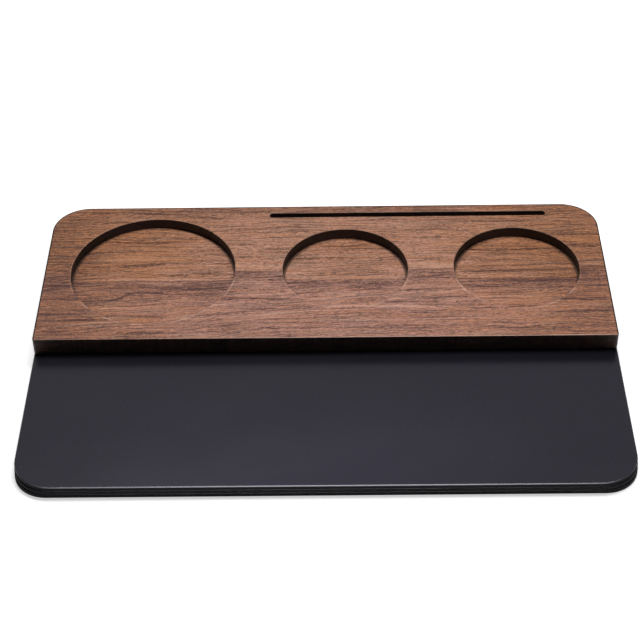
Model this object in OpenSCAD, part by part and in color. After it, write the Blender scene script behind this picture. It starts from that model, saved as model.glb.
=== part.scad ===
// Tamping station: a walnut tool board bonded to the rear of a three-ply leather mat.
// The origin is the centre of the footprint, on the surface that the mat lies on.
// +X points right, +Y to the back and +Z up. Every size is in millimetres.

/* [Board] */
// Width of the board, and of the mat under it
board_w = 270.6; // [245:0.1:340]
// Depth of the board, from its front edge to its back edge
board_d = 99.4; // [92:0.1:140]
// Thickness of the board
board_t = 8.9; // [7.6:0.1:20]
// Radius of the two rear corners, seen from above
rear_corner_r = 17.5; // [6:0.5:30]
// Radius of the two front corners, seen from above
front_corner_r = 1.2; // [1:0.1:8]
// Radius that eases the board's top and bottom edges
board_ease = 0.4; // [0.2:0.1:0.9]
// Depth of the front stave, the rear stave taking the rest of the board
front_stave_d = 48.4; // [40:0.1:58]

/* [Recesses] */
// Diameter of the large recess at the left
large_d = 79.4; // [64:0.1:84]
// Diameter of the two equal recesses, in the middle and at the right
seat_d = 60.6; // [50:0.1:66]
// Depth of the large recess
large_depth = 5.7; // [3:0.1:7]
// Depth of the middle recess
middle_depth = 6; // [3:0.1:7]
// Depth of the right recess
right_depth = 5.8; // [3:0.1:7]
// Distance from the middle of the board back to the centres of the recesses
recess_setback = 0.5; // [-3:0.1:3]
// Wood left between an outer recess and the end of the board beside it
end_land = 12.6; // [7:0.1:22]
// Sideways shift of the middle recess from midway between its neighbours
middle_shift = 0.4; // [-4:0.1:4]
// Width of the eased rim round each recess and the slot
rim_ease = 0.3; // [0.2:0.1:1]

/* [Slot] */
// Width of the slot along the back of the board
slot_w = 3.5; // [2:0.1:5]
// Length of the slot over its round ends
slot_l = 138; // [80:1:170]
// Depth of the slot
slot_depth = 6; // [3:0.1:7]
// Wood left behind the slot
slot_back_land = 5.4; // [3:0.1:8]
// Wood left between the slot and the right end of the board
slot_end_land = 25; // [20:0.1:50]

/* [Mat] */
// Depth of the leather left bare in front of the board
apron_d = 85.4; // [50:0.1:140]
// Thickness of the top ply
top_ply_t = 2; // [1.4:0.1:4]
// Thickness of the middle ply
middle_ply_t = 2; // [1:0.1:4]
// Thickness of the base ply
base_ply_t = 2.1; // [1:0.1:4]
// Radius of the top ply's two front corners, seen from above
top_corner_r = 17.5; // [6:0.5:30]
// Radius of the middle ply's two front corners, seen from above
middle_corner_r = 16.2; // [6:0.1:30]
// Radius of the base ply's two front corners, seen from above
base_corner_r = 15; // [6:0.5:30]
// Radius that the burnishing gives the top edge of the mat
mat_ease = 0.6; // [0.2:0.1:1]
// Radius that eases the edges where two plies meet
ply_ease = 0.25; // [0.1:0.05:0.45]

/* [Hidden] */
$fn = 96;

// How far a cutting shape runs past the face that it opens
overrun = 1;

// Places along Y, from the front of the mat to the back of the board
mat_front_y = -(apron_d + board_d) / 2;
board_front_y = mat_front_y + apron_d;
seam_y = board_front_y + front_stave_d;
back_y = board_front_y + board_d;
recess_y = board_front_y + board_d / 2 + recess_setback;
slot_y = back_y - slot_back_land - slot_w / 2;

// Places along X, from the left end of the board to the right end
half_w = board_w / 2;
large_x = -half_w + end_land + large_d / 2;
right_x = half_w - end_land - seat_d / 2;
middle_x = (large_x + large_d / 2 + right_x - seat_d / 2) / 2 + middle_shift;
slot_right_x = half_w - slot_end_land - slot_w / 2;
slot_left_x = slot_right_x - slot_l + slot_w;

// Heights of the faces that lie on each other, and of the top of the board
base_top_z = base_ply_t;
middle_top_z = base_top_z + middle_ply_t;
mat_top_z = middle_top_z + top_ply_t;
board_top_z = mat_top_z + board_t;

// Colours of the two staves and of the leathers
front_wood = [0.50, 0.33, 0.26];
rear_wood = [0.56, 0.38, 0.27];
top_hide = [0.20, 0.20, 0.22];
under_hide = [0.11, 0.11, 0.12];

// What an easing of radius r takes off a square corner at the origin, the stock to its lower left
module corner_waste(r) {
    difference() {
        translate([-r, -r])
            square(r + overrun);
        translate([-r, -r])
            circle(r);
    }
}

// Section of a slab from x = 0 out to its edge, with that edge eased above and below
module edge_section(reach, t, top_ease, low_ease) {
    difference() {
        square([reach, t]);
        translate([reach, t])
            corner_waste(top_ease);
        translate([reach, 0])
            mirror([0, 1])
                corner_waste(low_ease);
    }
}

// Stretch of a slab at its full width from y0 to y1, with its two long edges eased
module straight_run(y0, y1, t, top_ease, low_ease) {
    translate([0, y1, 0])
        rotate([90, 0, 0])
            linear_extrude(y1 - y0)
                for (side = [0, 1])
                    mirror([side, 0])
                        edge_section(half_w, t, top_ease, low_ease);
}

// Back end of a slab, its last edge at y, with both corners rounded to radius r
module back_end(y, r, t, top_ease, low_ease) {
    translate([-(half_w - r), y - r, 0])
        rotate([90, 0, 90])
            linear_extrude(2 * (half_w - r))
                edge_section(r, t, top_ease, low_ease);
    for (side = [0, 1])
        mirror([side, 0, 0])
            translate([half_w - r, y - r, 0])
                rotate_extrude(angle = 90)
                    edge_section(r, t, top_ease, low_ease);
}

// Front end of a slab, its first edge at y
module front_end(y, r, t, top_ease, low_ease) {
    mirror([0, 1, 0])
        back_end(-y, r, t, top_ease, low_ease);
}

// One ply of the mat: the whole footprint, its back corners flush with the board's
module ply(front_r, t, top_ease, low_ease) {
    front_end(mat_front_y, front_r, t, top_ease, low_ease);
    straight_run(mat_front_y + front_r, back_y - rear_corner_r, t, top_ease, low_ease);
    back_end(back_y, rear_corner_r, t, top_ease, low_ease);
}

// Half the section of a cut that opens upwards at height 0, flared at its rim by the easing
module cut_section(half, depth) {
    flare = rim_ease + overrun;
    polygon([[0, -depth], [half, -depth], [half, -rim_ease], [half + flare, overrun], [0, overrun]]);
}

// Blind round recess with its centre at x
module recess(x, d, depth) {
    translate([x, recess_y, board_top_z])
        rotate_extrude()
            cut_section(d / 2, depth);
}

// The three recesses in their row
module recesses() {
    recess(large_x, large_d, large_depth);
    recess(middle_x, seat_d, middle_depth);
    recess(right_x, seat_d, right_depth);
}

// Narrow blind slot with round ends, along the back of the board
module slot() {
    translate([slot_left_x, slot_y, board_top_z]) {
        rotate([90, 0, 90])
            linear_extrude(slot_right_x - slot_left_x)
                for (side = [0, 1])
                    mirror([side, 0])
                        cut_section(slot_w / 2, slot_depth);
        rotate([0, 0, 90])
            rotate_extrude(angle = 180)
                cut_section(slot_w / 2, slot_depth);
    }
    translate([slot_right_x, slot_y, board_top_z])
        rotate([0, 0, -90])
            rotate_extrude(angle = 180)
                cut_section(slot_w / 2, slot_depth);
}

// Lowest ply, which lies on the table
module base_leather() {
    color(under_hide)
        ply(base_corner_r, base_ply_t, ply_ease, ply_ease);
}

// Ply between the base and the top leather
module middle_leather() {
    color(under_hide)
        translate([0, 0, base_top_z])
            ply(middle_corner_r, middle_ply_t, ply_ease, ply_ease);
}

// Smooth top ply, bare in front of the board and carrying it behind
module top_leather() {
    color(top_hide)
        translate([0, 0, middle_top_z])
            ply(top_corner_r, top_ply_t, mat_ease, ply_ease);
}

// Front stave of the board, with the front edge and its small corners
module front_stave() {
    color(front_wood)
        difference() {
            translate([0, 0, mat_top_z]) {
                front_end(board_front_y, front_corner_r, board_t, board_ease, board_ease);
                straight_run(board_front_y + front_corner_r, seam_y, board_t, board_ease, board_ease);
            }
            recesses();
        }
}

// Rear stave, edge-glued to the front one, with the round back corners and the slot
module rear_stave() {
    color(rear_wood)
        difference() {
            translate([0, 0, mat_top_z]) {
                straight_run(seam_y, back_y - rear_corner_r, board_t, board_ease, board_ease);
                back_end(back_y, rear_corner_r, board_t, board_ease, board_ease);
            }
            recesses();
            slot();
        }
}

base_leather();
middle_leather();
top_leather();
front_stave();
rear_stave();
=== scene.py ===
# Looks of a tamping station: a walnut tool board on a three-ply black leather mat.
# Blender's sizes are in metres. The material functions measure the object in millimetres.
import math

import bpy
from mathutils import Matrix, Vector


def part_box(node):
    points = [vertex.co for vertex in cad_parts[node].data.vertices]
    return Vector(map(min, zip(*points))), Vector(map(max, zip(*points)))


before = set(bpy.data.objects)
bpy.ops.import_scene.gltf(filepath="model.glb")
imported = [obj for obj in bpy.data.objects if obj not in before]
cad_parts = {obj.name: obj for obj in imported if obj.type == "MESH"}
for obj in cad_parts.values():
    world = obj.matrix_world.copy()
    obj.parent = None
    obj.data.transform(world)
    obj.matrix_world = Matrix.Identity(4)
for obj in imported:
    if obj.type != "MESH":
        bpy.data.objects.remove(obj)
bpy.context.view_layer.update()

MM = 0.001

# Places of the colour sockets in Blender's Mix node
COLOUR_A, COLOUR_B, COLOUR_OUT = 6, 7, 2

# Camera that stands where the photographer stood, its angles in degrees and its lens in millimetres
CAMERA_PLACE = Vector((0.005484, -0.594828, 0.538665))
CAMERA_PITCH = 41.117
CAMERA_YAW = -0.747
CAMERA_ROLL = -1.033
CAMERA_LENS = 96.17
SENSOR = 36.0
NEAR_CLIP = 0.01

# White paper that the object stands on, and how much light it adds of its own
FLOOR_SIZE = 6.0
PAPER = (0.8, 0.8, 0.8, 1.0)
FLOOR_LIFT = 0.55

# The world: its white, its even fill, and the backdrop that reflections show at the back
WHITE = (1.0, 1.0, 1.0, 1.0)
FILL = 0.03
BACKDROP = 0.6

# The long narrow soft box above: where it hangs and looks, its two sides, and its power in watts
LAMP_PLACE = (0.05, 0.15, 0.70)
LAMP_TARGET = (0.0, 0.05, 0.0)
LAMP_SIZE = (0.6, 0.12)
LAMP_POWER = 5.35

# Places in the board, in millimetres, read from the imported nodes
BOARD_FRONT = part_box("front_stave")[0][1] / MM
BOARD_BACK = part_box("rear_stave")[1][1] / MM
BOARD_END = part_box("front_stave")[1][0] / MM
BOARD_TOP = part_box("front_stave")[1][2] / MM
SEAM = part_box("front_stave")[1][1] / MM

# Round forms of the board, in millimetres: the rear corners, and the recesses as x and radius
REAR_CORNER_R = 17.5
RECESS_Y = 43.2
RECESSES = ((-83.0, 39.7), (9.8, 30.3), (92.4, 30.3))


def srgb(red, green, blue):
    """A colour read off a screen, from 0 to 255, as linear light."""
    def linear(value):
        share = value / 255
        return share / 12.92 if share <= 0.04045 else ((share + 0.055) / 1.055) ** 2.4

    return (linear(red), linear(green), linear(blue), 1.0)


# Wood: pale streaks of the grain that also serve as painted highlights on the edges, greyish
# patches, black painted shade, and the painted shade of the recess walls and of the board's outer
# faces
PALE_STREAK_AND_HIGHLIGHT = srgb(216, 178, 160)
ASH = srgb(152, 124, 106)
SHADE_BLACK = srgb(22, 16, 14)
WALL_SHADE = srgb(46, 44, 52)
OUTER_FACE_SHADE = srgb(58, 50, 49)

# Leather: the painted highlight on its edge, the tone of its polished grain which also paints a
# sheen on the middle of the mat, and the tint of its gloss
EDGE_HIGHLIGHT = srgb(205, 205, 212)
POLISHED_GRAIN_AND_SHEEN = srgb(42, 39, 56)
HIDE_TINT = (0.88, 0.85, 1.0, 1.0)


class Tree:
    """The node tree of a material or a world, with one short method for each kind of node."""

    def __init__(self, owner):
        """Takes the material or the world that owns the tree."""
        owner.use_nodes = True
        self.owner = owner
        self.nodes = owner.node_tree.nodes
        self.links = owner.node_tree.links
        self.nodes.clear()

    def put(self, socket, value):
        """Links a socket to the input, or sets the input to a plain value."""
        if isinstance(value, bpy.types.NodeSocket):
            self.links.new(value, socket)
        else:
            socket.default_value = value

    def math(self, operation, first, second=0.0, third=0.0, clamp=False):
        """One sum of up to three values, each of them a socket or a number."""
        node = self.nodes.new("ShaderNodeMath")
        node.operation = operation
        node.use_clamp = clamp
        for socket, value in zip(node.inputs, (first, second, third)):
            self.put(socket, value)
        return node.outputs[0]

    def add(self, first, second, clamp=False):
        """The sum of two values."""
        return self.math("ADD", first, second, clamp=clamp)

    def times(self, first, second, clamp=False):
        """The product of two values."""
        return self.math("MULTIPLY", first, second, clamp=clamp)

    def span(self, value, low, high, to_low=0.0, to_high=1.0):
        """Carries the range low to high over to another range, smoothly and with its ends held."""
        node = self.nodes.new("ShaderNodeMapRange")
        node.interpolation_type = "SMOOTHSTEP"
        for name, number in (("Value", value), ("From Min", low), ("From Max", high),
                             ("To Min", to_low), ("To Max", to_high)):
            self.put(node.inputs[name], number)
        return node.outputs["Result"]

    def split(self, vector):
        """The x, y and z of a vector."""
        node = self.nodes.new("ShaderNodeSeparateXYZ")
        self.put(node.inputs[0], vector)
        return node.outputs[0], node.outputs[1], node.outputs[2]

    def size(self, value):
        """A value without its sign."""
        return self.math("ABSOLUTE", value)

    def length(self, first, second):
        """How long a line is that runs so far on two axes at right angles."""
        return self.math("SQRT", self.add(self.times(first, first), self.times(second, second)))

    def place(self):
        """Where a point lies on the object, in millimetres, as x, y and z."""
        where = self.nodes.new("ShaderNodeTexCoord").outputs["Object"]
        scale = self.nodes.new("ShaderNodeVectorMath")
        scale.operation = "SCALE"
        scale.inputs["Scale"].default_value = 1 / MM
        self.put(scale.inputs[0], where)
        return self.split(scale.outputs[0])

    def facing(self):
        """The surface's direction in the object's own axes, as x, y and z."""
        return self.split(self.nodes.new("ShaderNodeTexCoord").outputs["Normal"])

    def noise(self, x, y, z, size, detail=2.0, rough=0.5):
        """Noise from 0 to 1 whose lumps are about size millimetres long on each axis."""
        join = self.nodes.new("ShaderNodeCombineXYZ")
        for socket, value, length in zip(join.inputs, (x, y, z), size):
            self.put(socket, self.times(value, 1 / length))
        node = self.nodes.new("ShaderNodeTexNoise")
        node.inputs["Scale"].default_value = 1.0
        node.inputs["Detail"].default_value = detail
        node.inputs["Roughness"].default_value = rough
        self.put(node.inputs["Vector"], join.outputs[0])
        return node.outputs["Fac"]

    def mix(self, share, first, second):
        """The first colour, with the second one over it by the given share."""
        node = self.nodes.new("ShaderNodeMix")
        node.data_type = "RGBA"
        for socket, value in ((0, share), (COLOUR_A, first), (COLOUR_B, second)):
            self.put(node.inputs[socket], value)
        return node.outputs[COLOUR_OUT]

    def bump(self, height, depth):
        """Surface direction after a relief of the given depth in millimetres."""
        node = self.nodes.new("ShaderNodeBump")
        node.inputs["Strength"].default_value = 1.0
        node.inputs["Distance"].default_value = depth * MM
        self.put(node.inputs["Height"], height)
        return node.outputs["Normal"]

    def surface(self, colour, roughness, normal, **constants):
        """Ends the tree in one Principled shader."""
        shader = self.nodes.new("ShaderNodeBsdfPrincipled")
        self.put(shader.inputs["Base Color"], colour)
        self.put(shader.inputs["Roughness"], roughness)
        self.put(shader.inputs["Normal"], normal)
        for name, value in constants.items():
            shader.inputs[name.replace("_", " ")].default_value = value
        end = self.nodes.new("ShaderNodeOutputMaterial")
        self.put(end.inputs["Surface"], shader.outputs[0])
        return self.owner


def streak(tree, x, across, centre, reach, slope, strength):
    """How strong one streak of the figure is at a point, fading out towards its ends and sides."""
    along = tree.add(x, -centre[0])
    line = tree.math("MULTIPLY_ADD", along, slope, centre[1])
    off = tree.times(tree.math("SUBTRACT", across, line), 1 / reach[1])
    far = tree.times(along, 1 / reach[0])
    narrow = tree.math("SUBTRACT", 1.0, tree.times(off, off), clamp=True)
    short = tree.math("SUBTRACT", 1.0, tree.times(far, far), clamp=True)
    return tree.times(tree.times(narrow, narrow), tree.times(short, strength))


# Figure of each stave: soft shades, dark lines, light lines and golden patches.
# Each row has its centre, its half length and half width, its rise to the right, and its strength
FRONT_SHADES = (
    ((-64, 39.0), (39, 8.0), 0.00, 0.34),
    ((-106, 40.5), (22, 5.0), 0.00, 0.18),
    ((-60, 34.0), (36, 4.0), 0.00, 0.16),
    ((-134, 37.0), (22, 6.0), 0.00, 0.22),
    ((-131, 28.5), (9, 3.5), 0.00, 0.18),
    ((-102, 34.8), (10, 4.0), 0.00, 0.26),
    ((-72, 33.0), (34, 3.5), 0.00, 0.22),
    ((-78, 28.5), (32, 3.5), 0.05, 0.16),
    ((-54, 25.5), (13, 7.0), 0.00, 0.26),
    ((-33, 39.8), (13, 3.0), 0.00, 0.24),
    ((-39, 28.5), (9, 3.5), 0.00, 0.20),
    ((14, 37.5), (38, 6.0), 0.00, 0.28),
    ((18, 33.0), (22, 3.0), 0.00, 0.12),
    ((46, 33.0), (9, 3.0), 0.00, 0.24),
    ((74, 33.0), (12, 3.0), 0.00, 0.26),
    ((52, 41.0), (16, 5.5), 0.00, 0.16),
    ((98, 38.3), (34, 7.5), 0.00, 0.44),
    ((130, 38.5), (12, 6.0), 0.00, 0.15),
    ((129, 33.0), (9, 3.0), 0.00, 0.22),
)
FRONT_DARKS = (
    ((-131, 31.8), (14, 1.3), -0.02, 0.85),
    ((-123, 33.6), (6, 0.8), 0.00, 0.50),
    ((-104, 33.6), (14, 0.9), 0.00, 0.30),
    ((-80, 34.5), (14, 0.9), 0.02, 0.20),
    ((-64, 33.4), (20, 1.6), 0.00, 0.30),
    ((-108, 25.6), (12, 0.9), 0.06, 1.00),
    ((-97, 28.0), (9, 0.9), 0.42, 1.00),
    ((-88, 30.4), (11, 1.0), 0.02, 1.10),
    ((-70, 29.8), (22, 0.9), 0.00, 0.45),
    ((-28, 36.8), (16, 1.0), 0.00, 0.12),
    ((24, 36.2), (16, 1.4), 0.00, 0.35),
    ((56, 35.5), (20, 1.0), 0.00, 0.26),
    ((98, 38.6), (28, 1.0), 0.00, 0.70),
    ((80, 34.4), (14, 0.9), 0.00, 0.45),
    ((104, 32.6), (20, 0.9), 0.02, 0.35),
    ((-127, 10.4), (16, 0.9), 0.05, 0.70),
    ((-116, 23.5), (14, 0.9), 0.04, 0.35),
    ((-106, 13.5), (16, 1.2), 0.04, 0.45),
    ((-104, 6.6), (16, 1.0), 0.05, 0.50),
    ((-32, 21.4), (16, 0.9), 0.02, 0.80),
    ((-52, 19.6), (14, 0.9), 0.12, 0.40),
    ((-14, 14.2), (34, 0.9), 0.01, 0.50),
    ((-50, 10), (20, 0.9), 0.08, 0.40),
    ((-6, 3.6), (24, 0.9), 0.04, 0.35),
    ((44, 25.5), (24, 0.9), -0.01, 0.45),
    ((62, 20.5), (16, 0.9), -0.02, 0.35),
    ((36, 18), (20, 0.9), 0.02, 0.45),
    ((108, 18), (32, 1.0), 0.02, 0.55),
    ((84, 28.6), (20, 0.9), 0.05, 0.45),
    ((120, 9), (18, 1.3), 0.01, 0.40),
    ((-66, -2.2), (30, 1.2), 0.01, 0.35),
    ((-20, -0.5), (36, 1.6), 0.02, 0.26),
    ((36, 0.0), (40, 2.0), 0.00, 0.26),
    ((108, -1), (44, 2.0), 0.00, 0.30),
)
FRONT_LIGHTS = (
    ((-76, 36.7), (12, 2.0), 0.00, 0.45),
    ((14, 28.5), (10, 2.6), 0.00, 0.35),
    ((-36, 33.5), (11, 3.0), 0.00, 0.40),
    ((-32, 9.0), (46, 0.8), 0.08, 0.90),
    ((34, 14.4), (28, 1.1), 0.00, 0.80),
    ((14, 20), (28, 1.0), 0.02, 0.65),
    ((-55, 15.6), (18, 1.0), 0.20, 0.60),
    ((-12, 26), (30, 1.2), 0.08, 0.50),
    ((-112, 3), (26, 0.9), 0.12, 0.55),
    ((-104, 20), (16, 1.0), 0.06, 0.45),
    ((78, 25), (30, 1.2), 0.04, 0.45),
    ((112, 13), (26, 1.0), 0.02, 0.40),
    ((30, 5), (60, 1.0), 0.01, 0.35),
)
FRONT_GOLDS = (
    ((-128, 15), (18, 3.5), 0.00, 0.90),
    ((-108, 22), (18, 2.6), 0.10, 0.50),
    ((-96, 10), (24, 3.0), 0.05, 0.50),
    ((-116, 39), (20, 3.0), 0.00, 0.40),
    ((96, 26), (34, 5.0), 0.00, 0.45),
    ((122, 20), (16, 8.0), 0.00, 0.60),
    ((30, 9), (50, 4.0), 0.00, 0.35),
)
REAR_SHADES = (
    ((16, 44.5), (30, 3.0), 0.00, 0.26),
    ((92, 44.5), (34, 3.0), 0.00, 0.26),
    ((-54, 44.5), (10, 3.0), 0.00, 0.20),
    ((0, 93.0), (150, 13.0), 0.00, 0.30),
    ((76, 80.0), (38, 8.0), 0.00, 0.18),
    ((92, 60.0), (34, 12.0), 0.00, 0.08),
    ((-60, 86.0), (40, 8.0), 0.00, 0.08),
)
REAR_DARKS = (
    ((-130, 66), (12, 1.0), 0.00, 0.60),
    ((-126, 54.6), (16, 1.0), 0.00, 0.70),
    ((-104, 80), (20, 0.9), 0.06, 0.50),
    ((-96, 87.5), (26, 0.9), 0.00, 0.55),
    ((-60, 84), (14, 1.0), 0.00, 0.60),
    ((-70, 89), (24, 0.9), 0.00, 0.40),
    ((-100, 51.4), (26, 1.0), 0.05, 0.50),
    ((-76, 52.0), (18, 0.9), 0.03, 0.50),
    ((-104, 61.5), (22, 0.9), 0.02, 0.50),
    ((-92, 70.5), (18, 0.9), 0.02, 0.40),
    ((-78, 44.5), (30, 0.9), 0.04, 0.40),
    ((-30, 52), (18, 0.9), 0.02, 0.45),
    ((-34, 62), (14, 0.9), -0.02, 0.35),
    ((-36, 74), (18, 0.9), 0.02, 0.40),
    ((2, 57), (22, 0.9), 0.01, 0.35),
    ((16, 50), (20, 0.9), 0.01, 0.35),
    ((30, 81), (26, 0.9), 0.00, 0.40),
    ((44, 66), (18, 0.9), 0.00, 0.45),
    ((40, 60), (20, 0.9), 0.02, 0.35),
    ((92, 62.5), (32, 1.0), 0.02, 0.45),
    ((86, 53), (20, 1.0), -0.02, 0.45),
    ((94, 49), (32, 1.0), 0.02, 0.55),
    ((98, 44.8), (32, 0.9), 0.00, 0.75),
    ((118, 75), (20, 1.0), 0.01, 0.50),
    ((120, 68), (18, 1.0), -0.02, 0.50),
    ((122, 60), (16, 1.0), 0.00, 0.45),
    ((88, 79), (26, 0.9), 0.01, 0.40),
    ((120, 84), (14, 0.9), 0.00, 0.40),
    ((4, 76), (40, 0.9), -0.01, 0.35),
)
REAR_LIGHTS = (
    ((124, 80), (24, 16.0), 0.00, 0.10),
    ((-100, 61), (24, 16.0), 0.00, 0.08),
    ((-30, 44.5), (32, 2.4), 0.00, 0.30),
    ((-84, 41.2), (40, 1.4), 0.00, 0.60),
    ((48, 45), (22, 3.0), 0.00, 0.50),
    ((10, 41.6), (36, 1.2), 0.00, 0.25),
    ((129, 44), (9, 3.0), 0.00, 0.40),
    ((92, 42.2), (34, 0.8), 0.00, 0.50),
    ((-90, 56), (26, 2.0), 0.02, 0.35),
    ((60, 77), (60, 2.0), 0.00, 0.25),
)
REAR_GOLDS = (
    ((-100, 62), (40, 20.0), 0.00, 0.80),
    ((14, 66), (34, 8.0), 0.00, 0.45),
    ((96, 64), (34, 9.0), 0.00, 0.55),
    ((122, 74), (28, 20.0), 0.00, 0.80),
)


def streaks(tree, x, across, rows):
    """How strong all the streaks of a list are together."""
    total = 0.0
    for centre, reach, slope, strength in rows:
        total = tree.add(total, streak(tree, x, across, centre, reach, slope, strength))
    return total


# Painted highlight on the lips and painted shade at the feet of the recesses, in millimetres: a lip
# lies outside the wall, and a foot inside
LIP_PLACE, LIP_START, LIP_END = 0.7, 0.2, 0.5
NEAR_HALF = (-4.0, -14.0)
FOOT_START, FOOT_FULL, FOOT_END = 1.6, 0.7, 0.3
# How far out the side walls begin, as shares of the radius
SIDE_START, SIDE_FULL = 0.35, 0.85

# Relief of the wood and of the hide, in millimetres
WOOD_RELIEF, HIDE_RELIEF = 0.05, 0.008

# Grain of the walnut. Each layer is noise drawn out along the grain: its seed, its length and width
# in millimetres, its detail and roughness, and the range of the noise that becomes the last range
GRAIN = {
    "bands": (1.7, (190.0, 6.5), 2.0, 0.5, (0.32, 0.68), (0.0, 1.0)),
    "lines": (3.1, (40.0, 1.7), 2.0, 0.5, (0.38, 0.66), (0.0, 1.0)),
    "veins": (25.0, (36.0, 1.0), 1.0, 0.5, (0.56, 0.68), (0.0, 1.0)),
    "hairs": (37.0, (34.0, 0.62), 1.0, 0.5, (0.53, 0.66), (0.0, 1.0)),
    "fibres": (4.9, (12.0, 0.8), 2.0, 0.6, (0.36, 0.66), (0.0, 1.0)),
    "specks": (21.0, (3.0, 0.48), 2.0, 0.6, (0.36, 0.64), (0.0, 1.0)),
    "sand": (33.0, (1.3, 0.52), 1.0, 0.5, (0.35, 0.65), (-0.5, 0.5)),
    "dashes": (9.1, (3.6, 0.75), 1.0, 0.5, (0.55, 0.65), (0.0, 1.0)),
    "crowd": (5.5, (24.0, 7.0), 1.0, 0.5, (0.35, 0.65), (0.25, 0.9)),
    "glints": (17.0, (16.0, 0.9), 1.0, 0.5, (0.56, 0.70), (0.0, 1.0)),
    "hues": (13.0, (26.0, 1.8), 2.0, 0.5, (0.40, 0.62), (0.0, 1.0)),
    "ashen": (29.0, (30.0, 2.4), 2.0, 0.5, (0.50, 0.66), (0.0, 0.45)),
}
# How much the layers darken the wood
DARKENING = (("bands", 0.06), ("lines", 0.06), ("veins", 0.36), ("hairs", 0.40),
             ("fibres", 0.20), ("specks", 0.36), ("sand", 0.34))
# How much the listed lights and the glints brighten it
LIGHTENING, GLINTING = 0.5, 0.22

# How far the grain moves sideways for each millimetre of depth
GRAIN_LEAN = 0.3
# Two waves in the grain: seed, length and width, detail, and height in millimetres
WAVES = ((0.0, (70.0, 16.0), 1.0, 6.0), (7.3, (17.0, 4.0), 2.0, 2.8))
# Where the grain climbs, from left to right
CLIMB_START, CLIMB_END = -160.0, 60.0
# Where the ends of the board begin to darken, where they are darkest, and by how much
LEFT_END, RIGHT_END = (-85.0, -134.0, 0.0, 0.25), (80.0, 134.0, 0.0, 0.16)
# Dark glue line: the distances at which it ends and is full, and its strength
GLUE_END, GLUE_FULL, GLUE_TONE = 0.45, 0.15, 0.22


def inset(tree, x, y):
    """How far a point lies inside the ends and the back edge of the board, in millimetres."""
    out = tree.math("MAXIMUM", tree.add(tree.size(x), REAR_CORNER_R - BOARD_END), 0.0)
    aft = tree.math("MAXIMUM", tree.add(y, REAR_CORNER_R - BOARD_BACK), 0.0)
    return tree.math("SUBTRACT", REAR_CORNER_R, tree.length(out, aft))


def recess_highlight_and_shade(tree, x, y):
    """The painted highlight on the lip along the near half of each recess, and the painted shade at
    the foot of its side walls.
    """
    lip_highlights, foot_shades = 0.0, 0.0
    for centre, radius in RECESSES:
        aside = tree.add(x, -centre)
        aft = tree.add(y, -RECESS_Y)
        reach = tree.length(aside, aft)
        lip = tree.span(tree.size(tree.add(reach, -radius - LIP_PLACE)), LIP_END, LIP_START)
        lip_highlights = tree.add(lip_highlights, tree.times(lip, tree.span(aft, *NEAR_HALF)))
        foot = tree.times(tree.span(reach, radius - FOOT_START, radius - FOOT_FULL),
                          tree.span(reach, radius + FOOT_END, radius))
        wide = tree.span(tree.size(aside), SIDE_START * radius, SIDE_FULL * radius)
        foot_shades = tree.add(foot_shades, tree.times(foot, wide))
    return lip_highlights, foot_shades


def waved(tree, x, lean, seed):
    """Place across the grain, with the grain's waves in it."""
    across = lean
    for shift, (length, width), detail, height in WAVES:
        wave = tree.noise(x, lean, seed + shift, (length, width, 1.0), detail)
        across = tree.math("MULTIPLY_ADD", tree.add(wave, -0.5), height, across)
    return across


def grain_layers(tree, x, y, flow, seed):
    """Every layer of the grain by its name. The sand lies straight, the others follow the flow."""
    layers = {}
    for name, (shift, (length, width), detail, rough, low_high, to_low_high) in GRAIN.items():
        across = y if name == "sand" else flow
        noise = tree.noise(x, across, seed + shift, (length, width, 1.0), detail, rough)
        layers[name] = tree.span(noise, *low_high, *to_low_high)
    return layers


def board_marks(tree, colour, place, seed):
    """Lays painted shade and painted highlights over the wood, and gives the colour and the
    strength of the contour.
    """
    x, y, z = place
    side, back, up = tree.facing()
    edge = inset(tree, x, y)

    # Painted shade on upright faces: dark round the outside, darker still inside the recesses and
    # the slot
    inside = tree.times(tree.span(edge, 1.0, 2.0),
                        tree.span(y, BOARD_FRONT + 1.0, BOARD_FRONT + 2.0))
    steep = tree.times(tree.span(up, 0.5, 0.1), tree.span(inside, 0.0, 1.0, 0.84, 0.97))
    wall = tree.mix(tree.span(tree.size(side), 0.4, 0.9), WALL_SHADE, SHADE_BLACK)
    colour = tree.mix(steep, colour, tree.mix(inside, OUTER_FACE_SHADE, wall))

    # Painted shade at the foot and painted highlight on the lip of each recess
    lip_highlights, foot_shades = recess_highlight_and_shade(tree, x, y)
    deep_down = tree.span(z, BOARD_TOP - 3.0, BOARD_TOP - 4.0)
    colour = tree.mix(tree.times(tree.times(foot_shades, deep_down), 0.7), colour, SHADE_BLACK)
    flat = tree.times(tree.span(up, 0.9, 0.99), tree.span(z, BOARD_TOP - 0.3, BOARD_TOP - 0.1))
    broken = tree.span(tree.noise(x, y, seed, (7.0, 7.0, 1.0), 1.0), 0.45, 0.65, 0.05, 0.42)
    colour = tree.mix(tree.times(tree.times(lip_highlights, flat), broken), colour, PALE_STREAK_AND_HIGHLIGHT)

    # Painted highlight on the arrises, brightest along the front and towards its right end
    painted_arris_highlight = tree.times(tree.span(up, 0.99, 0.9), tree.span(up, 0.2, 0.4))
    front = tree.times(tree.span(y, BOARD_FRONT + 3.0, BOARD_FRONT + 2.0),
                       tree.span(x, -110.0, -10.0, 0.0, 0.7))
    painted_arris_highlight = tree.times(tree.times(painted_arris_highlight, tree.span(back, 0.3, 0.0)), tree.add(front, 0.25))
    colour = tree.mix(painted_arris_highlight, colour, PALE_STREAK_AND_HIGHLIGHT)

    # Painted shade: a dark line round the ends and the back
    contour = tree.times(tree.span(edge, 0.9, 0.45), tree.span(up, 0.1, 0.3))
    return tree.mix(tree.times(contour, 0.95), colour, SHADE_BLACK), contour


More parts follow.
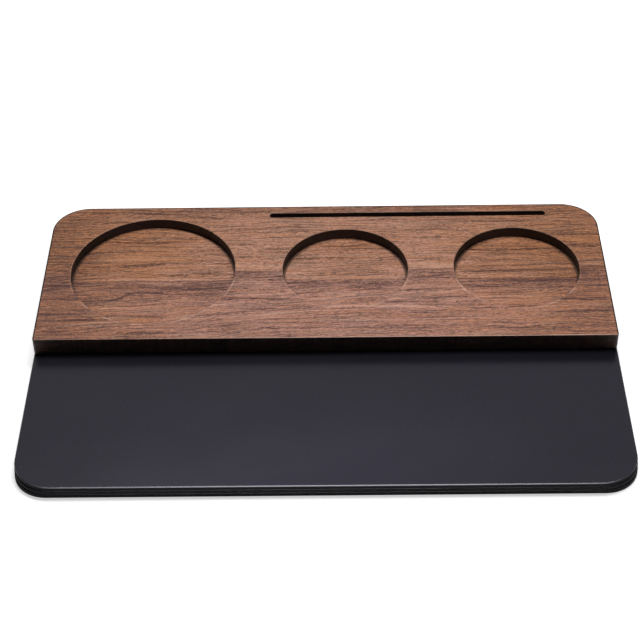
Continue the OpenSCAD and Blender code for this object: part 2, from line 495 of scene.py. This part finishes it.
def walnut(name, pale, deep, gold, pore, figure, climb, floor_shade, seed):
    """Oiled walnut with its grain along X. Pale and deep are the early and the late wood."""
    shades, darks, lights, golds = figure
    tree = Tree(bpy.data.materials.new(name))
    x, y, z = tree.place()
    lean = tree.math("MULTIPLY_ADD", tree.add(z, -BOARD_TOP), GRAIN_LEAN, y)
    across = waved(tree, x, lean, seed)
    flow = tree.math("SUBTRACT", across, tree.span(x, CLIMB_START, CLIMB_END, 0.0, climb))
    grain = grain_layers(tree, x, y, flow, seed)
    fibres, specks = grain["fibres"], grain["specks"]

    # Tone of the place: the ends, painted shade on the recess floors, the soft shades and the glue
    # line
    dark = tree.add(tree.span(x, *LEFT_END), tree.span(x, *RIGHT_END))
    dark = tree.add(dark, tree.span(z, BOARD_TOP - 1.0, BOARD_TOP - 4.0, 0.0, floor_shade))
    dark = tree.add(dark, streaks(tree, x, lean, shades))
    glue = tree.span(tree.size(tree.add(y, -SEAM)), GLUE_END, GLUE_FULL)
    dark = tree.add(dark, tree.times(glue, GLUE_TONE))

    # Tone of the grain, with the drawn lines broken up by the fine layers
    for layer, weight in DARKENING:
        dark = tree.math("MULTIPLY_ADD", grain[layer], weight, dark)
    ragged = tree.times(tree.span(fibres, 0.0, 1.0, 0.6, 1.2),
                        tree.span(specks, 0.0, 1.0, 0.7, 1.2))
    drawn = tree.times(streaks(tree, x, across, darks), ragged)
    flecks = tree.times(grain["dashes"], tree.add(grain["crowd"], drawn), clamp=True)
    dark = tree.add(dark, drawn)
    lit = streaks(tree, x, across, lights)
    dark = tree.math("SUBTRACT", dark, tree.times(lit, LIGHTENING))
    dark = tree.math("SUBTRACT", dark, tree.times(grain["glints"], GLINTING), clamp=True)

    # Colour: golden towards the ends, ashen in patches, then late wood, worn lines and pores
    outer = tree.span(tree.size(x), 30.0, 134.0, 0.0, 0.75)
    warm = tree.add(tree.times(streaks(tree, x, across, golds), 0.8),
                    tree.times(grain["hues"], 0.5))
    colour = tree.mix(tree.add(warm, outer, clamp=True), pale, gold)
    colour = tree.mix(grain["ashen"], colour, ASH)
    colour = tree.mix(dark, colour, deep)
    rubbed = tree.times(tree.times(lit, 0.3), tree.span(specks, 1.0, 0.0, 0.6, 1.2))
    colour = tree.mix(rubbed, colour, PALE_STREAK_AND_HIGHLIGHT)
    colour = tree.mix(tree.times(flecks, 0.6), colour, pore)
    colour, contour = board_marks(tree, colour, (x, y, z), seed)

    height = tree.math("SUBTRACT", tree.times(fibres, 0.4), flecks)
    roughness = tree.add(tree.span(fibres, 0.0, 1.0, 0.42, 0.58), tree.times(contour, 0.5),
                         clamp=True)
    return tree.surface(colour, roughness, tree.bump(height, WOOD_RELIEF), IOR=1.45,
                        Specular_IOR_Level=0.35)


def leather(node, face, edge, joint_and_shadow, shine, seed):
    """Smooth black hide with a painted highlight on its top edge, and below it the raw dyed side of
    one ply.
    """
    low, high = (corner[2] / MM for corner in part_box(node))
    tree = Tree(bpy.data.materials.new(node))
    x, y, z = tree.place()
    up = tree.facing()[2]

    # Smooth face: cloudy and finely grained, with a painted sheen in the middle and a painted
    # shadow next to the board
    cloud = tree.noise(x, y, seed, (60.0, 40.0, 1.0), 2.0)
    grain = tree.noise(x, y, z, (0.9, 0.9, 0.9), 3.0, 0.6)
    shaded = tuple(0.8 * channel for channel in face[:3]) + (1.0,)
    colour = tree.mix(tree.span(cloud, 0.3, 0.7), face, shaded)
    colour = tree.mix(tree.span(grain, 0.5, 0.68, 0.0, 0.3), colour, POLISHED_GRAIN_AND_SHEEN)
    centre = tree.times(tree.span(tree.size(x), 110.0, 20.0), tree.span(y, -30.0, -75.0))
    colour = tree.mix(tree.times(centre, 0.45), colour, POLISHED_GRAIN_AND_SHEEN)
    # Painted shadow on the face next to the board, in the joint colour
    beside = tree.span(y, BOARD_FRONT - 12.0, BOARD_FRONT - 4.0, 0.0, 0.5)
    colour = tree.mix(beside, colour, joint_and_shadow)

    # Painted highlight along the upper edge, brightest in the middle of the front and faint round
    # the corners
    painted_edge_highlight = tree.times(tree.span(up, 0.985, 0.93), tree.span(up, 0.4, 0.65))
    painted_edge_highlight = tree.times(painted_edge_highlight, tree.span(tree.size(x), 30.0, 134.0, 1.0, 0.5))
    painted_edge_highlight = tree.times(painted_edge_highlight, tree.span(tree.size(x), 112.0, 130.0, 1.0, 0.12))
    colour = tree.mix(painted_edge_highlight, colour, EDGE_HIGHLIGHT)

    # Raw side of the ply, dark where it meets its neighbours
    fibre = tree.span(tree.noise(tree.add(x, y), z, seed, (2.6, 0.45, 1.0), 2.0), 0.35, 0.65)
    off = tree.size(tree.add(z, -0.5 * (low + high)))
    flank = tree.mix(tree.times(fibre, tree.span(off, 0.9, 0.3)), joint_and_shadow, edge)
    colour = tree.mix(tree.span(up, 0.35, 0.1), colour, flank)

    roughness = tree.add(tree.span(up, 0.98, 0.85, 0.22, 0.28),
                         tree.span(cloud, 0.3, 0.7, 0.0, 0.04))
    roughness = tree.add(roughness, tree.span(up, 0.5, 0.2, 0.0, 0.6))
    return tree.surface(colour, roughness, tree.bump(grain, HIDE_RELIEF), IOR=1.5,
                        Specular_IOR_Level=shine, Specular_Tint=HIDE_TINT)


def dress(node, material):
    """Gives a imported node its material."""
    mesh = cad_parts[node].data
    mesh.materials.clear()
    mesh.materials.append(material)


def make_floor():
    """White paper that goes white to the camera and keeps the object's shadow."""
    bpy.ops.mesh.primitive_plane_add(size=FLOOR_SIZE, location=(0.0, 0.0, 0.0))
    floor = bpy.context.object
    floor.name = "floor"
    tree = Tree(bpy.data.materials.new("white_paper"))
    paper = tree.nodes.new("ShaderNodeBsdfDiffuse")
    paper.inputs["Color"].default_value = PAPER
    glow = tree.nodes.new("ShaderNodeEmission")
    path = tree.nodes.new("ShaderNodeLightPath")
    seen = tree.math("MAXIMUM", path.outputs["Is Camera Ray"], path.outputs["Is Glossy Ray"])
    tree.put(glow.inputs["Strength"], tree.times(seen, FLOOR_LIFT))
    both = tree.nodes.new("ShaderNodeAddShader")
    tree.put(both.inputs[0], paper.outputs[0])
    tree.put(both.inputs[1], glow.outputs[0])
    end = tree.nodes.new("ShaderNodeOutputMaterial")
    tree.put(end.inputs["Surface"], both.outputs[0])
    floor.data.materials.append(tree.owner)


def make_world():
    """White to the camera, a low even fill, and in reflections a backdrop that stands behind."""
    world = bpy.data.worlds.new("studio")
    bpy.context.scene.world = world
    tree = Tree(world)
    back = tree.nodes.new("ShaderNodeBackground")
    back.inputs["Color"].default_value = WHITE
    path = tree.nodes.new("ShaderNodeLightPath")
    behind = tree.split(tree.nodes.new("ShaderNodeTexCoord").outputs["Generated"])[1]
    sheet = tree.span(behind, -0.1, 0.5, 0.0, BACKDROP - FILL)
    level = tree.math("MULTIPLY_ADD", path.outputs["Is Glossy Ray"], sheet, FILL)
    level = tree.math("MULTIPLY_ADD", path.outputs["Is Camera Ray"], 1.0 - FILL, level)
    tree.put(back.inputs["Strength"], level)
    tree.put(tree.nodes.new("ShaderNodeOutputWorld").inputs["Surface"], back.outputs[0])


def make_lamp():
    """Rectangular soft box that looks at its target."""
    data = bpy.data.lights.new("soft_box", "AREA")
    data.shape = "RECTANGLE"
    data.size, data.size_y = LAMP_SIZE
    data.energy = LAMP_POWER
    lamp = bpy.data.objects.new("soft_box", data)
    bpy.context.scene.collection.objects.link(lamp)
    lamp.location = LAMP_PLACE
    aim = Vector(LAMP_TARGET) - Vector(LAMP_PLACE)
    lamp.rotation_euler = aim.to_track_quat("-Z", "Y").to_euler()


def make_camera():
    """Camera from its place and its three angles."""
    pitch, yaw, roll = (math.radians(angle) for angle in (CAMERA_PITCH, CAMERA_YAW, CAMERA_ROLL))
    level = Vector((math.cos(yaw), -math.sin(yaw), 0.0))
    ahead = Vector((math.sin(yaw) * math.cos(pitch), math.cos(yaw) * math.cos(pitch),
                    -math.sin(pitch)))
    upright = level.cross(ahead)
    right = math.cos(roll) * level + math.sin(roll) * upright
    up = math.cos(roll) * upright - math.sin(roll) * level
    data = bpy.data.cameras.new("camera")
    data.lens = CAMERA_LENS
    data.sensor_width = SENSOR
    data.clip_start = NEAR_CLIP
    camera = bpy.data.objects.new("camera", data)
    bpy.context.scene.collection.objects.link(camera)
    turn = Matrix((right, up, -ahead)).transposed().to_4x4()
    camera.matrix_world = Matrix.Translation(CAMERA_PLACE) @ turn
    bpy.context.scene.camera = camera


# Each stave: name of its wood, then early wood, late wood, golden tint and pores, its figure, how
# far the grain climbs to the right in millimetres, how much painted shade darkens its recess floors
# (a negative amount lightens them), and its seed
WOODS = {
    "front_stave": ("front_walnut", srgb(193, 142, 124), srgb(78, 45, 39), srgb(189, 128, 92),
                    srgb(44, 26, 24), (FRONT_SHADES, FRONT_DARKS, FRONT_LIGHTS, FRONT_GOLDS),
                    9.0, -0.02, 3.0),
    "rear_stave": ("rear_walnut", srgb(198, 146, 122), srgb(82, 47, 31), srgb(188, 127, 86),
                   srgb(46, 26, 18), (REAR_SHADES, REAR_DARKS, REAR_LIGHTS, REAR_GOLDS),
                   0.0, 0.02, 31.0),
}
# Each ply: its smooth face, its raw side, the joint next to that which also gives the painted
# shadow next to the board, its gloss and its seed
HIDES = {
    "top_leather": (srgb(22, 21, 30), srgb(22, 21, 22), srgb(12, 12, 13), 0.4, 5.0),
    "middle_leather": (srgb(22, 21, 26), srgb(66, 64, 66), srgb(28, 27, 28), 0.2, 9.0),
    "base_leather": (srgb(22, 21, 26), srgb(68, 66, 67), srgb(28, 27, 28), 0.2, 14.0),
}

make_camera()
for node, looks in WOODS.items():
    dress(node, walnut(*looks))
for node, looks in HIDES.items():
    dress(node, leather(node, *looks))
make_floor()
make_world()
make_lamp()
bpy.context.scene.view_settings.view_transform = "Standard"
